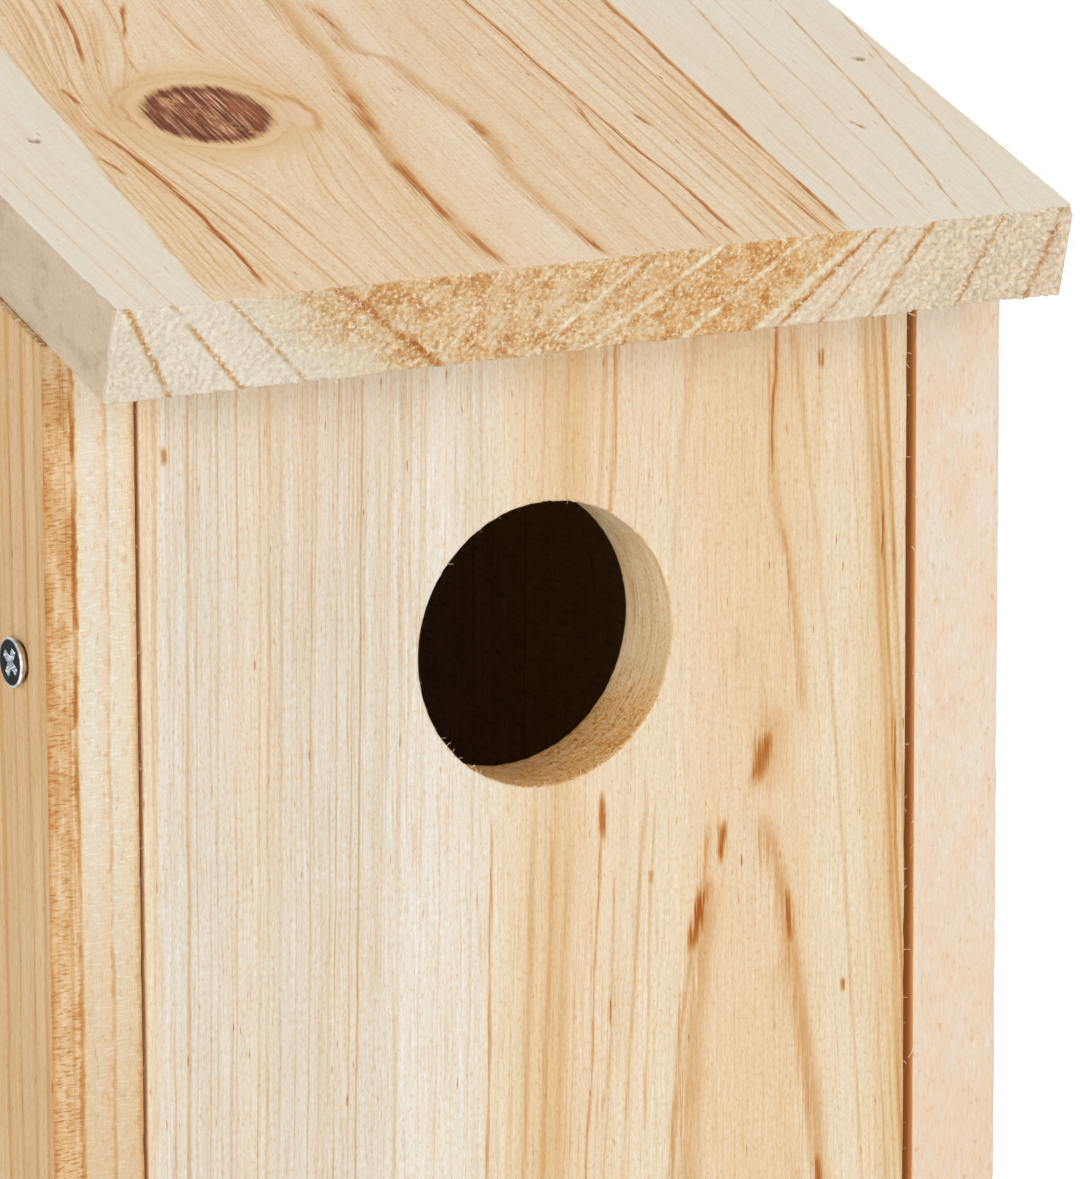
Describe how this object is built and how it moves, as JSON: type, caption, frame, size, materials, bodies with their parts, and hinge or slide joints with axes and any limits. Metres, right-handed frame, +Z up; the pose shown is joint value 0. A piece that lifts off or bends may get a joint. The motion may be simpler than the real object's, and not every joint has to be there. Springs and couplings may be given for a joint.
{
  "type": "birdhouse",
  "caption": "Softwood nest box with a sloping lean-to roof, a round entrance hole and a front panel that swings out on side screws for cleaning, held shut by a turning hook.",
  "frame": {"origin": "on the ground under the middle of the whole box, roof included", "axes": "+Z up, the front with the entrance hole faces -Y, +X to the right when looking at the front"},
  "size_m": [0.1222, 0.147, 0.2378],
  "materials": {
    "fir": "planed, untreated",
    "zinc_screw": "bright zinc plate",
    "zinc_wire": "zinc plate",
    "brad_steel": "galvanised"
  },
  "bodies": {
    "box": {"roof": "fir", "left_wall": "fir", "right_wall": "fir", "back_wall": "fir", "floor": "fir", "roof_brads_left": "brad_steel", "roof_brads_right": "brad_steel", "roof_brads_rear": "brad_steel", "back_brads_left": "brad_steel", "back_brads_right": "brad_steel", "floor_brads_left": "brad_steel", "floor_brads_right": "brad_steel", "floor_brads_rear": "brad_steel"},
    "front": {"front_panel": "fir", "left_pivot_screw": "zinc_screw", "right_pivot_screw": "zinc_screw"},
    "latch": {"latch_hook": "zinc_wire"}
  },
  "joints": [
    {"name": "front_swing", "type": "hinge", "parent": "box", "child": "front", "pos_m": [0, -0.04978, 0.154], "axis": [-1, 0, 0], "range_deg": [0, 130]},
    {"name": "latch_turn", "type": "hinge", "parent": "box", "child": "latch", "pos_m": [0.0545, -0.05648, 0.025], "axis": [0, 1, 0], "range_deg": [0, 90]}
  ]
}
